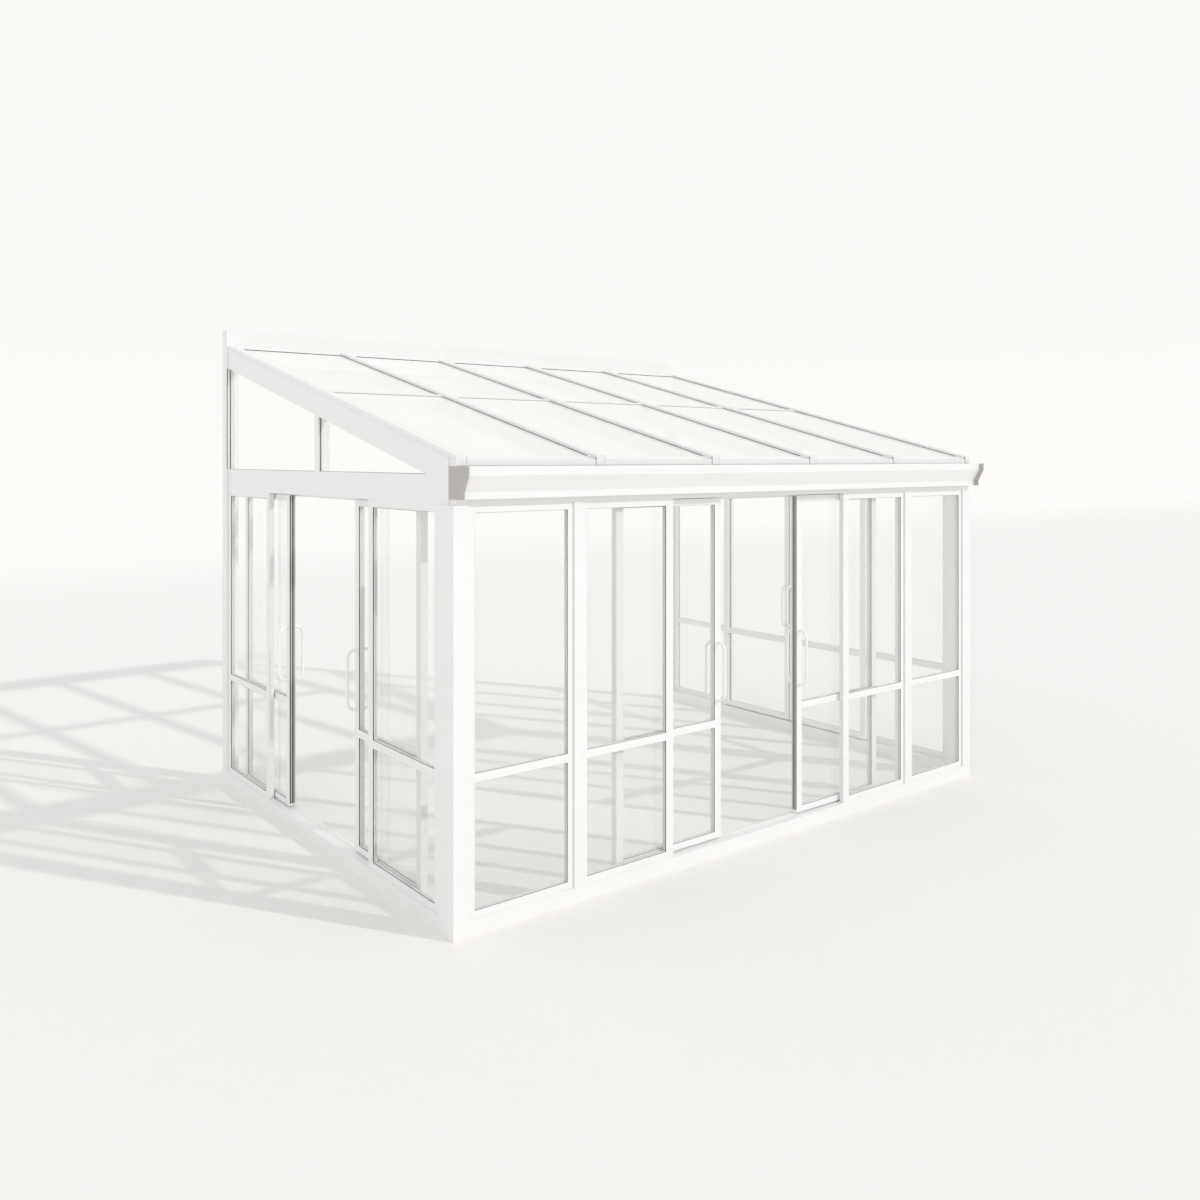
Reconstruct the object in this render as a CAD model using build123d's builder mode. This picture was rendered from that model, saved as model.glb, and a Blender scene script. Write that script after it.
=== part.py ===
"""Lean-to conservatory: white aluminium frame, clear glass, sliding doors in the front and in both gables.

X runs along the front, Y from the front to the house wall, and Z up. The origin is on the ground,
under the middle of the whole building with its gutter. The back is open: it stands against a house.
"""

from build123d import *
from math import cos, radians, sin, tan
import os

os.makedirs("parts", exist_ok=True)

# Plan and heights of the building
house_width = 4360
house_depth = 3280
head_height = 2100
ring_beam_height = 150
glazing_rise = 214
roof_pitch = 14

# Sills, posts and mullions
sill_height = 80
sill_depth = 100
post_width = 90
front_post_depth = 150
mullion_width = 55
window_bay = 638
gable_mullion_width = 55

# Glazed frames, fixed and sliding
frame_setback = 12
fixed_thickness = 33
door_setback = 50
door_thickness = 40
front_stile = 37
gable_stile = 55
meeting_stile = 55
door_stile = 50
rail_height = 38
mid_rail_low = 742
mid_rail_height = 45
pane_thickness = 8
rebate = 10
front_fixed_width = 650
gable_fixed_width = 790

# The doors of the front and the left gable stand part open: this is how much further they slide
front_door_travel_left = 257
left_door_travel_left = 205

# The doors of the right gable are shut: half of what shut doors keep between them
door_gap = 3
jamb_clearance = 6
handle_stop_clearance = 8

# Running gear of the doors
door_lift = 6
track_height = 4
track_width = 8
roller_radius = 12
roller_width = 10
roller_inset = 120
roller_clearance = 0.3
guide_lip = 16
guide_upstand = 30
guide_thickness = 4
guide_clearance = 5
head_clearance = 6

# Bow handles
handle_height = 1070
handle_length = 340
handle_reach = 60
handle_radius = 9
handle_bend = 46
handle_flat_count = 6
rosette_radius = 14
rosette_thickness = 3

# Roof
rafter_width = 50
rafter_depth = 110
rafter_chamfer = 8
rake_depth = 137
roof_pane_thickness = 10
pane_gap = 24
cap_width = 58
cap_rise = 20
cap_chamfer = 5
cap_stem_clearance = 5
nose_thickness = 6
nose_clearance = 4
glass_stop_thickness = 4
purlin_width = 50
purlin_depth = 60
purlin_cap_width = 44
purlin_cap_rise = 6
bay_count = 5

# Eaves beam and gutter
eaves_beam_depth = 68
gutter_over_head = 30
gutter_height = 160
gutter_reach_top = 88
gutter_reach_bottom = 46
gutter_upper_face = 45
gutter_lower_face = 35
gutter_wall = 3
end_plate_overhang = 32
end_plate_thickness = 5

# Wall plate against the house
wall_plate_depth = 90
wall_plate_rise = 141
flashing_reach = 30
flashing_rise = 45
flashing_thickness = 4

# Places worked out from the sizes above
overall_depth = house_depth + gutter_reach_top + end_plate_overhang
back_y = overall_depth / 2
front_y = back_y - house_depth
side_x = house_width / 2
face_x = side_x - frame_setback
rear_post_y = back_y - post_width
front_post_back_y = front_y + front_post_depth
beam_back_y = front_y + eaves_beam_depth
plate_front_y = back_y - wall_plate_depth
ring_beam_top = head_height + ring_beam_height
glazing_height = head_height + glazing_rise
gutter_low = head_height + gutter_over_head
gutter_high = gutter_low + gutter_height
wall_bar_thickness = post_width - frame_setback
slope = tan(radians(roof_pitch))
upright = cos(radians(roof_pitch))
up_the_slope = (0, cos(radians(roof_pitch)), sin(radians(roof_pitch)))
roof_pane_rise = roof_pane_thickness / upright
cap_top_rise = (roof_pane_thickness + cap_rise) / upright
gable_length = rear_post_y - front_post_back_y
gable_middle_y = (rear_post_y + front_post_back_y) / 2
gable_centre_y = (front_y + back_y) / 2
mullion_x = side_x - post_width - window_bay
front_half = mullion_x - mullion_width
rafter_pitch = 2 * (face_x - cap_width / 2) / bay_count
first_rafter_x = -face_x + cap_width / 2 + rafter_pitch
rafter_places = [first_rafter_x + i * rafter_pitch for i in range(bay_count - 1)]
rib_places = [first_rafter_x + i * rafter_pitch for i in range(-1, bay_count)]

front_wall = Plane((0, front_y, 0), x_dir=(1, 0, 0), z_dir=(0, -1, 0))
left_wall = Plane((-side_x, 0, 0), x_dir=(0, -1, 0), z_dir=(-1, 0, 0))
right_wall = Plane((side_x, 0, 0), x_dir=(0, 1, 0), z_dir=(1, 0, 0))
cross_section = Plane((0, 0, 0), x_dir=(0, 1, 0), z_dir=(1, 0, 0))


def glazing_plane(y):
    """Height of the underside of the roof glass at a depth in the building."""
    return glazing_height + slope * (y - front_y)


def save(piece, name):
    """Label a finished piece and write it to its own file."""
    piece.part.label = name
    export_step(piece.part, f"parts/{name}.step")


def save_mirrored(piece, left_name, right_name):
    """Write a piece of the left gable, and its mirror image for the right one."""
    with BuildPart() as twin:
        mirror(piece.part, about=Plane.YZ)
    save(piece, left_name)
    save(twin, right_name)


def wall_rectangle(low, high, bottom, top, mode=Mode.ADD):
    """A rectangle in a wall's plane between two places along it and two heights."""
    with Locations(((low + high) / 2, (bottom + top) / 2)):
        Rectangle(high - low, top - bottom, mode=mode)


def wall_bars(wall, spans, bottom, top, setback, thickness):
    """Straight bars in a wall, one for each span, at one setback behind the face of the posts."""
    with BuildPart() as bars:
        with BuildSketch(wall.offset(-setback - thickness)):
            for low, high in spans:
                wall_rectangle(low, high, bottom, top)
        extrude(amount=thickness)
    return bars


def daylights(low, high, bottom, top, low_stile, high_stile):
    """The two openings of a frame, under and over its middle rail."""
    inner_low = low + low_stile
    inner_high = high - high_stile
    lower = (inner_low, inner_high, bottom + rail_height, mid_rail_low)
    upper = (inner_low, inner_high, mid_rail_low + mid_rail_height, top - rail_height)
    return [lower, upper]


def glazed_frames(wall, outlines, setback, thickness):
    """Frames of stiles and three rails, with a groove round each opening that holds its pane."""
    groove_depth = setback + (thickness + pane_thickness) / 2
    with BuildPart() as frames:
        with BuildSketch(wall.offset(-setback - thickness)):
            for outline in outlines:
                wall_rectangle(*outline[:4])
                for opening in daylights(*outline):
                    wall_rectangle(*opening, mode=Mode.SUBTRACT)
        extrude(amount=thickness)
        with BuildSketch(wall.offset(-groove_depth)):
            for outline in outlines:
                for low, high, bottom, top in daylights(*outline):
                    wall_rectangle(low - rebate, high + rebate, bottom - rebate, top + rebate)
        extrude(amount=pane_thickness, mode=Mode.SUBTRACT)
    return frames


def panes(wall, outlines, setback, thickness):
    """The glass of frames made from the same outlines, one pane for each opening."""
    groove_depth = setback + (thickness + pane_thickness) / 2
    with BuildPart() as glass:
        with BuildSketch(wall.offset(-groove_depth)):
            for outline in outlines:
                for low, high, bottom, top in daylights(*outline):
                    wall_rectangle(low - rebate, high + rebate, bottom - rebate, top + rebate)
        extrude(amount=pane_thickness)
    return glass


def door_frame(wall, outline):
    """A sliding door's frame with the two rollers that stand out of its bottom rail."""
    low, high, bottom = outline[:3]
    axle_height = sill_height + track_height + roller_clearance + roller_radius
    roller_depth = door_setback + (door_thickness + roller_width) / 2
    frame = glazed_frames(wall, [outline], door_setback, door_thickness)
    with BuildPart() as rollers:
        with BuildSketch(wall.offset(-roller_depth)):
            with Locations((low + roller_inset, axle_height), (high - roller_inset, axle_height)):
                Circle(roller_radius)
        extrude(amount=roller_width)
    with BuildPart() as door:
        add(frame.part)
        add(rollers.part)
    return door


def handle_ring(radius):
    """The outline of a handle's bar or rosette: flats around a circle."""
    RegularPolygon(radius, handle_flat_count)


def bow_handle(wall, place, face, out):
    """One bow handle: half of it leaves the stile, bends up to the middle, and is mirrored there."""
    low = handle_height - handle_length / 2
    bend_depth = face + out * (handle_reach - handle_bend)
    bend_centre = wall.from_local_coords((place, low + handle_bend, bend_depth))
    grip_start = wall.from_local_coords((place, low + handle_bend, face + out * handle_reach))
    with BuildPart() as handle:
        with BuildSketch(wall.offset(face)):
            with Locations((place, low)):
                handle_ring(rosette_radius)
        extrude(amount=out * rosette_thickness)
        with BuildSketch(wall.offset(face)):
            with Locations((place, low)):
                handle_ring(handle_radius)
        extrude(amount=out * (handle_reach - handle_bend))
        with BuildSketch(wall.offset(bend_depth)):
            with Locations((place, low)):
                handle_ring(handle_radius)
        revolve(axis=Axis(bend_centre, wall.x_dir * -out), revolution_arc=90)
        with BuildSketch(Plane(grip_start, x_dir=wall.x_dir, z_dir=(0, 0, 1))):
            handle_ring(handle_radius)
        extrude(amount=handle_length / 2 - handle_bend)
        mirror(about=Plane.XY.offset(handle_height))
    return handle


def door_handles(wall, place):
    """The outer and the inner bow handle of one door."""
    outer = bow_handle(wall, place, -door_setback, 1)
    inner = bow_handle(wall, place, -door_setback - door_thickness, -1)
    with BuildPart() as handles:
        add(outer.part)
        add(inner.part)
    return handles


def door_stop(half, fixed_width, width):
    """How far a door's leading edge gets from the middle: its far edge or its handle meets something."""
    far_edge_stop = half - jamb_clearance - width
    handle_stop = half - fixed_width - handle_stop_clearance - handle_radius - door_stile / 2
    return min(far_edge_stop, handle_stop)


def door(wall, middle, side, lead_distance, width):
    """Frame, glass and handles of one door; side is the way it opens from the middle of its doorway."""
    lead = middle + side * lead_distance
    trail = lead + side * width
    outline = (min(lead, trail), max(lead, trail), door_bottom, door_top, door_stile, door_stile)
    frame = door_frame(wall, outline)
    glass = panes(wall, [outline], door_setback, door_thickness)
    handles = door_handles(wall, lead + side * door_stile / 2)
    return frame, glass, handles


# Sills round three sides: the back is open to the house
with BuildPart() as front_sill:
    with BuildSketch(Plane.XY):
        with Locations((0, front_y + sill_depth / 2)):
            Rectangle(house_width, sill_depth)
    extrude(amount=sill_height)
    with BuildSketch(front_wall.offset(-door_setback - (door_thickness + track_width) / 2)):
        wall_rectangle(-front_half, front_half, sill_height, sill_height + track_height)
    extrude(amount=track_width)
save(front_sill, "front_sill")

with BuildPart() as side_sill:
    with BuildSketch(Plane.XY):
        with Locations((-side_x + sill_depth / 2, (front_y + sill_depth + back_y) / 2)):
            Rectangle(sill_depth, house_depth - sill_depth)
    extrude(amount=sill_height)
    with BuildSketch(left_wall.offset(-door_setback - (door_thickness + track_width) / 2)):
        wall_rectangle(-rear_post_y, -front_post_back_y, sill_height, sill_height + track_height)
    extrude(amount=track_width)
save_mirrored(side_sill, "left_sill", "right_sill")

# Posts and mullions stand on the sills
wall_plate_bottom = glazing_plane(plate_front_y) - rake_depth
with BuildPart() as front_post:
    with BuildSketch(Plane.XY.offset(sill_height)):
        with Locations((-side_x + post_width / 2, front_y + front_post_depth / 2)):
            Rectangle(post_width, front_post_depth)
    extrude(amount=head_height - sill_height)
save_mirrored(front_post, "front_left_post", "front_right_post")

with BuildPart() as rear_post:
    with BuildSketch(Plane.XY.offset(sill_height)):
        with Locations((-side_x + post_width / 2, back_y - post_width / 2)):
            Rectangle(post_width, post_width)
    extrude(amount=wall_plate_bottom - sill_height)
save_mirrored(rear_post, "rear_left_post", "rear_right_post")

mullion_spans = [(-mullion_x, -front_half), (front_half, mullion_x)]
front_mullions = wall_bars(front_wall, mullion_spans, sill_height, head_height, 0, post_width)
save(front_mullions, "front_mullions")

# Head guides: a strip on each beam's inner face that steps inwards and hangs down behind the doors
def head_guide(wall, low, high, fixing_depth):
    """A guide along a wall from low to high, screwed to a beam whose inner face is at fixing_depth."""
    lip_depth = door_setback + door_thickness + guide_clearance
    section = Plane(wall.from_local_coords((low, 0, 0)), x_dir=-wall.z_dir, z_dir=wall.x_dir)
    with BuildPart() as guide:
        with BuildSketch(section):
            with BuildLine():
                Polyline(
                    (fixing_depth, head_height + guide_upstand),
                    (fixing_depth, head_height),
                    (lip_depth, head_height),
                    (lip_depth, head_height - guide_lip),
                    (lip_depth + guide_thickness, head_height - guide_lip),
                    (lip_depth + guide_thickness, head_height + guide_thickness),
                    (fixing_depth + guide_thickness, head_height + guide_thickness),
                    (fixing_depth + guide_thickness, head_height + guide_upstand),
                    close=True,
                )
            make_face()
        extrude(amount=high - low)
    return guide


front_guide = head_guide(front_wall, -side_x + post_width, side_x - post_width, eaves_beam_depth)
save(front_guide, "front_head_guide")
side_guide = head_guide(left_wall, -rear_post_y, -front_post_back_y, post_width)
save_mirrored(side_guide, "left_head_guide", "right_head_guide")

# Fixed frames and their glass
front_windows = [
    (-side_x + post_width, -mullion_x, sill_height, head_height, front_stile, front_stile),
    (mullion_x, side_x - post_width, sill_height, head_height, front_stile, front_stile),
]
front_sidelights = [
    (-front_half, -front_half + front_fixed_width, sill_height, head_height, front_stile, meeting_stile),
    (front_half - front_fixed_width, front_half, sill_height, head_height, meeting_stile, front_stile),
]
gable_sidelights = [
    (-rear_post_y, -rear_post_y + gable_fixed_width, sill_height, head_height, gable_stile, meeting_stile),
    (-front_post_back_y - gable_fixed_width, -front_post_back_y, sill_height, head_height,
     meeting_stile, gable_stile),
]
window_frames = glazed_frames(front_wall, front_windows, frame_setback, fixed_thickness)
save(window_frames, "front_window_frames")
window_glass = panes(front_wall, front_windows, frame_setback, fixed_thickness)
save(window_glass, "front_window_glass")
front_fixed = glazed_frames(front_wall, front_sidelights, frame_setback, fixed_thickness)
save(front_fixed, "front_fixed_frames")
front_fixed_panes = panes(front_wall, front_sidelights, frame_setback, fixed_thickness)
save(front_fixed_panes, "front_fixed_glass")
side_fixed = glazed_frames(left_wall, gable_sidelights, frame_setback, fixed_thickness)
save_mirrored(side_fixed, "left_fixed_frames", "right_fixed_frames")
side_fixed_panes = panes(left_wall, gable_sidelights, frame_setback, fixed_thickness)
save_mirrored(side_fixed_panes, "left_fixed_glass", "right_fixed_glass")

# Sliding doors, each a frame, its glass and a pair of handles
door_bottom = sill_height + track_height + door_lift
door_top = head_height - head_clearance
gable_half = gable_length / 2
front_door_width = front_half - front_fixed_width + meeting_stile - door_gap
gable_door_width = gable_half - gable_fixed_width + meeting_stile - door_gap
front_lead = door_stop(front_half, front_fixed_width, front_door_width) - front_door_travel_left
left_lead = door_stop(gable_half, gable_fixed_width, gable_door_width) - left_door_travel_left
door_pairs = (
    (front_wall, 0, front_lead, front_door_width, ("front_left", "front_right")),
    (left_wall, -gable_middle_y, left_lead, gable_door_width, ("left_far", "left_near")),
    (right_wall, gable_middle_y, door_gap, gable_door_width, ("right_near", "right_far")),
)
for wall, middle, lead_distance, width, names in door_pairs:
    for side, name in zip((-1, 1), names):
        frame, glass, handles = door(wall, middle, side, lead_distance, width)
        save(frame, f"{name}_door_frame")
        save(glass, f"{name}_door_glass")
        save(handles, f"{name}_door_handles")

# Eaves beam over the front, its top cut to the roof's slope
with BuildPart() as eaves_beam:
    with BuildSketch(cross_section.offset(-face_x + end_plate_thickness)):
        with BuildLine():
            Polyline(
                (front_y, head_height),
                (beam_back_y, head_height),
                (beam_back_y, glazing_plane(beam_back_y)),
                (front_y, glazing_plane(front_y)),
                close=True,
            )
        make_face()
    extrude(amount=2 * (face_x - end_plate_thickness))
save(eaves_beam, "eaves_beam")


def gutter_profile(overhang, back):
    """Outline of the gutter seen from its end: an upright face, a slanted one and an upright foot."""
    top_reach = front_y - gutter_reach_top - overhang
    bottom_reach = front_y - gutter_reach_bottom - overhang
    Polyline(
        (back, gutter_low),
        (bottom_reach, gutter_low),
        (bottom_reach, gutter_low + gutter_lower_face),
        (top_reach, gutter_high - gutter_upper_face),
        (top_reach, gutter_high),
        (back, gutter_high),
        close=True,
    )


with BuildPart() as gutter:
    with BuildSketch(cross_section.offset(-face_x + end_plate_thickness)) as outer_profile:
        with BuildLine():
            gutter_profile(0, front_y)
        make_face()
    extrude(amount=2 * (face_x - end_plate_thickness))
    gutter_mouth = gutter.faces().sort_by(Axis.Z)[-1]
    gutter_ends = gutter.faces().filter_by(Axis.X)
    offset(amount=-gutter_wall, openings=[gutter_mouth, *gutter_ends])
save(gutter, "gutter")

with BuildPart() as gutter_end_plates:
    with BuildSketch(cross_section.offset(-face_x)):
        with BuildLine():
            gutter_profile(end_plate_overhang, beam_back_y)
        make_face()
    extrude(amount=end_plate_thickness)
    mirror(about=Plane.YZ)
save(gutter_end_plates, "gutter_end_plates")

# Wall plate on the rear posts, and the flashing that laps over the top of the roof glass
with BuildPart() as wall_plate:
    with BuildSketch(Plane.XY.offset(wall_plate_bottom)):
        with Locations((0, back_y - wall_plate_depth / 2)):
            Rectangle(house_width, wall_plate_depth)
    extrude(amount=glazing_plane(plate_front_y) + wall_plate_rise - wall_plate_bottom)
save(wall_plate, "wall_plate")

# Gables above the doors: transom, raking bar and one mullion
gable_transom = wall_bars(left_wall, [(-rear_post_y, -beam_back_y)], head_height, ring_beam_top,
                          frame_setback, wall_bar_thickness)
save_mirrored(gable_transom, "left_transom", "right_transom")

rake_foot_y = front_y + (ring_beam_top - glazing_height + rake_depth) / slope
with BuildPart() as gable_rake:
    with BuildSketch(cross_section.offset(-face_x)):
        with BuildLine():
            Polyline(
                (beam_back_y, ring_beam_top),
                (rake_foot_y, ring_beam_top),
                (plate_front_y, glazing_plane(plate_front_y) - rake_depth),
                (plate_front_y, glazing_plane(plate_front_y)),
                (beam_back_y, glazing_plane(beam_back_y)),
                close=True,
            )
        make_face()
    extrude(amount=wall_bar_thickness)
save_mirrored(gable_rake, "left_rake", "right_rake")

gable_mullion_low = gable_centre_y - gable_mullion_width / 2
gable_mullion_high = gable_centre_y + gable_mullion_width / 2
with BuildPart() as gable_mullion:
    with BuildSketch(cross_section.offset(-face_x)):
        with BuildLine():
            Polyline(
                (gable_mullion_low, ring_beam_top),
                (gable_mullion_high, ring_beam_top),
                (gable_mullion_high, glazing_plane(gable_mullion_high) - rake_depth),
                (gable_mullion_low, glazing_plane(gable_mullion_low) - rake_depth),
                close=True,
            )
        make_face()
    extrude(amount=wall_bar_thickness)
save_mirrored(gable_mullion, "left_gable_mullion", "right_gable_mullion")

gable_pane_setback = frame_setback + (fixed_thickness - pane_thickness) / 2
with BuildPart() as gable_glass:
    with BuildSketch(cross_section.offset(-side_x + gable_pane_setback)):
        with BuildLine():
            Polyline(
                (rake_foot_y, ring_beam_top),
                (gable_mullion_low, ring_beam_top),
                (gable_mullion_low, glazing_plane(gable_mullion_low) - rake_depth),
                close=True,
            )
        make_face()
        with BuildLine():
            Polyline(
                (gable_mullion_high, ring_beam_top),
                (rear_post_y, ring_beam_top),
                (rear_post_y, glazing_plane(rear_post_y) - rake_depth),
                (gable_mullion_high, glazing_plane(gable_mullion_high) - rake_depth),
                close=True,
            )
        make_face()
    extrude(amount=pane_thickness)
save_mirrored(gable_glass, "left_gable_glass", "right_gable_glass")


def sloping_profile(low_y, high_y, low_rise, high_rise):
    """A strip that follows the roof, between two depths and two heights over the glazing plane."""
    Polyline(
        (low_y, glazing_plane(low_y) + low_rise),
        (high_y, glazing_plane(high_y) + low_rise),
        (high_y, glazing_plane(high_y) + high_rise),
        (low_y, glazing_plane(low_y) + high_rise),
        close=True,
    )


def roof_section(y):
    """An upright plane across the roof at one depth, its origin on the underside of the roof glass."""
    return Plane((0, y, glazing_plane(y)), x_dir=(1, 0, 0), z_dir=(0, -1, 0))


def roof_rectangles(places, width, low_rise, high_rise):
    """Rectangles in a section across the roof, one centred on each place along the front."""
    with Locations(*[(place, low_rise) for place in places]):
        Rectangle(width, high_rise - low_rise, align=(Align.CENTER, Align.MIN))


# Roof: rafters, purlins between them, glass, and the caps that hold it down
with BuildPart() as rafters:
    with BuildSketch(roof_section(beam_back_y)) as rafter_ends:
        roof_rectangles(rafter_places, rafter_width, -rafter_depth / upright, 0)
        chamfer(rafter_ends.vertices().group_by(Axis.Y)[0], length=rafter_chamfer)
    extrude(amount=(plate_front_y - beam_back_y) / upright, dir=up_the_slope)
save(rafters, "rafters")

bay_middles = [place - rafter_pitch / 2 for place in rib_places[1:]]
purlin_low_y = gable_centre_y - purlin_width / 2
purlin_high_y = gable_centre_y + purlin_width / 2
with BuildPart() as purlins:
    for left_rib, right_rib in zip(rib_places[:-1], rib_places[1:]):
        left_end = max(left_rib + rafter_width / 2, -face_x + wall_bar_thickness)
        right_end = min(right_rib - rafter_width / 2, face_x - wall_bar_thickness)
        with BuildSketch(cross_section.offset(left_end)):
            with BuildLine():
                sloping_profile(purlin_low_y, purlin_high_y, -purlin_depth / upright, 0)
            make_face()
        extrude(amount=right_end - left_end)
save(purlins, "purlins")

pane_spans = [(front_y, gable_centre_y - pane_gap / 2), (gable_centre_y + pane_gap / 2, plate_front_y)]
with BuildPart() as roof_glass:
    for low_y, high_y in pane_spans:
        with BuildSketch(roof_section(low_y)):
            roof_rectangles(bay_middles, rafter_pitch - pane_gap, 0, roof_pane_rise)
        extrude(amount=(high_y - low_y) / upright, dir=up_the_slope)
save(roof_glass, "roof_glass")

bay_spans = [(left + cap_width / 2, right - cap_width / 2)
             for left, right in zip(rib_places[:-1], rib_places[1:])]
purlin_cap_low_y = gable_centre_y - purlin_cap_width / 2
purlin_cap_high_y = gable_centre_y + purlin_cap_width / 2
with BuildPart() as purlin_caps:
    for left_end, right_end in bay_spans:
        with BuildSketch(cross_section.offset(left_end)):
            with BuildLine():
                sloping_profile(purlin_cap_low_y, purlin_cap_high_y, roof_pane_rise,
                                roof_pane_rise + purlin_cap_rise)
            make_face()
        extrude(amount=right_end - left_end)
save(purlin_caps, "purlin_caps")

with BuildPart() as wall_flashing:
    for left_end, right_end in bay_spans:
        with BuildSketch(cross_section.offset(left_end)):
            with BuildLine():
                sloping_profile(plate_front_y - flashing_reach, plate_front_y, roof_pane_rise,
                                roof_pane_rise + flashing_thickness)
            make_face()
            with BuildLine():
                sloping_profile(plate_front_y - flashing_thickness, plate_front_y,
                                roof_pane_rise + flashing_thickness, roof_pane_rise + flashing_rise)
            make_face()
        extrude(amount=right_end - left_end)
save(wall_flashing, "wall_flashing")

nose_bottom_rise = gutter_high + nose_clearance - glazing_plane(front_y)
with BuildPart() as glazing_caps:
    with BuildSketch(roof_section(front_y)) as cap_profile:
        roof_rectangles(rib_places, cap_width, roof_pane_rise, cap_top_rise)
        chamfer(cap_profile.vertices().group_by(Axis.Y)[-1], length=cap_chamfer)
        roof_rectangles(rib_places, pane_gap - 2 * cap_stem_clearance, 0, roof_pane_rise)
    extrude(amount=(plate_front_y - front_y) / upright, dir=up_the_slope)
    with BuildSketch(roof_section(front_y)) as nose_profile:
        roof_rectangles(rib_places, cap_width, nose_bottom_rise, cap_top_rise)
        chamfer(nose_profile.vertices().group_by(Axis.Y)[-1], length=cap_chamfer)
    extrude(amount=nose_thickness)
save(glazing_caps, "glazing_caps")

# Stops on the eaves beam that hold the lower edge of the roof glass between the noses of the caps
glass_stop_bottom = gutter_high + nose_clearance
glass_stop_top = glazing_height + roof_pane_rise
with BuildPart() as glass_stops:
    with BuildSketch(front_wall):
        for left_end, right_end in bay_spans:
            wall_rectangle(left_end, right_end, glass_stop_bottom, glass_stop_top)
    extrude(amount=glass_stop_thickness)
save(glass_stops, "glass_stops")
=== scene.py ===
"""Looks of the lean-to conservatory: powder-coated aluminium, glass, rubber seals, light and camera."""
from math import cos, pi, radians, sin, tan

import bmesh
import bpy
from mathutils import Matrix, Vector


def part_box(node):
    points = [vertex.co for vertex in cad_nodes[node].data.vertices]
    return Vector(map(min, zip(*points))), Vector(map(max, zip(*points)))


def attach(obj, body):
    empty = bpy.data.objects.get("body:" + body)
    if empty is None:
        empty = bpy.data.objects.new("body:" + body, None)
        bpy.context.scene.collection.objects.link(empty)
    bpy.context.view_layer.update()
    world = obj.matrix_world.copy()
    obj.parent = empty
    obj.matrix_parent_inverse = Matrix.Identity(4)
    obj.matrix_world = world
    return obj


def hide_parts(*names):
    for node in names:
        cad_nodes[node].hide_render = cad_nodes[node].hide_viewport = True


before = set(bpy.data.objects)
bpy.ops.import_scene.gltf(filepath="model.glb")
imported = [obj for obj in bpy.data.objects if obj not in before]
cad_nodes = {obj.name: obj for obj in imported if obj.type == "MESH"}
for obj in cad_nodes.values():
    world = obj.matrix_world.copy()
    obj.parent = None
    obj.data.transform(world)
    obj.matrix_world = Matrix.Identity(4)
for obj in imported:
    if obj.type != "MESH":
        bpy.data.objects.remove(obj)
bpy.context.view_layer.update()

BUILDING = "conservatory"
DOORS = ["front_left_door", "front_right_door", "left_near_door", "left_far_door",
         "right_near_door", "right_far_door"]

# Sizes of the glazing and the roof, as the CAD model has them
REBATE = 0.010
FRAME_SETBACK = 0.012
DOOR_SETBACK = 0.050
ROOF_PITCH = radians(14)
ROOF_PANE_THICKNESS = 0.010
ROOF_PANE_RISE = ROOF_PANE_THICKNESS / cos(ROOF_PITCH)
CAP_STEM_HALF = 0.007
NOSE_THICKNESS = 0.006

# How far a seal reaches into what holds it
EMBEDDED = 0.001

# Gaskets and beads of the upright panes
GASKET_INSET = 0.0005
GASKET_DEPTH = 0.0055
RAIL_GASKET_DEPTH = 0.0045
GASKET_BODY = 0.0008
GASKET_SLANT = 0.0006
BEAD_LIP = 0.0022
BEAD_TOP = 0.3 * BEAD_LIP
INNER_BEAD_DEPTH = 0.0030
INNER_BEAD_LIP_DEPTH = 0.0008
SLIM_GASKET_RISE = 0.0030
SLIM_GASKET_FOOT = 0.6 * SLIM_GASKET_RISE
SLIM_GASKET_TOP = 0.3 * SLIM_GASKET_RISE
POST_GASKET_END = 0.001

# Pile and black fin strips let into the leading edge of a door, as depths behind its outer face; the black
# of the fin strips is partly painted shade of the grooves in the seal
LEAD_FINS_AND_GROOVE_SHADE = ((0.001, 0.007), (0.018, 0.026))
LEAD_PADS = ((0.007, 0.018), (0.026, 0.038))
LEAD_FIN_RISE = 0.0006
LEAD_PAD_RISE = 0.0012
LEAD_SLANT_SHARE = 0.15
LEAD_SHOULDER_SHARE = 0.3
LEAD_FOOT_GAP = 0.022
LEAD_HEAD_GAP = 0.004

# Strips on the roof, beside what holds the glass down
CAP_GASKET_WIDTH = 0.0018
CAP_GASKET_HEIGHT = 0.0026
CAP_GASKET_SHOULDER = 0.7 * CAP_GASKET_HEIGHT
CAP_GASKET_END = 0.075
FLASHING_BEAD_WIDTH = 0.005
FLASHING_BEAD_HEIGHT = 0.0032
FLASHING_BEAD_SLANT = 0.002
PURLIN_BEAD_WIDTH = 0.0025
PURLIN_BEAD_TOP = 0.001
PURLIN_BEAD_HEIGHT = 0.0025
VERGE_SEAL_INSET = 0.0012

# Seals beside the noses of the glazing caps, black rubber that is partly painted shade on the sides of the
# noses
NOSE_SEAL_WIDTH = 0.0020
NOSE_SEAL_INSET = 0.0006
NOSE_SEAL_TIP_INSET = 0.0015
NOSE_SEAL_OVERLAP = 0.012

# Joints along the sills and between the sliding and the fixed frames
SILL_BEAD_HEIGHT = 0.0025
SILL_BEAD_WIDTH = 0.0025
SILL_BEAD_TOP = 0.0018
PILE_INSET = 0.014
PILE_WIDTH = 0.007
PILE_CLEARANCE = 0.001
PILE_ROUNDING = 0.001
PILE_END_GAP = 0.004

# Small rounding of every edge of the frames
EDGE_ROUNDING = 0.0006
ROUNDING_SEGMENTS = 2
ROUNDED_ANGLE = radians(30)

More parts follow.
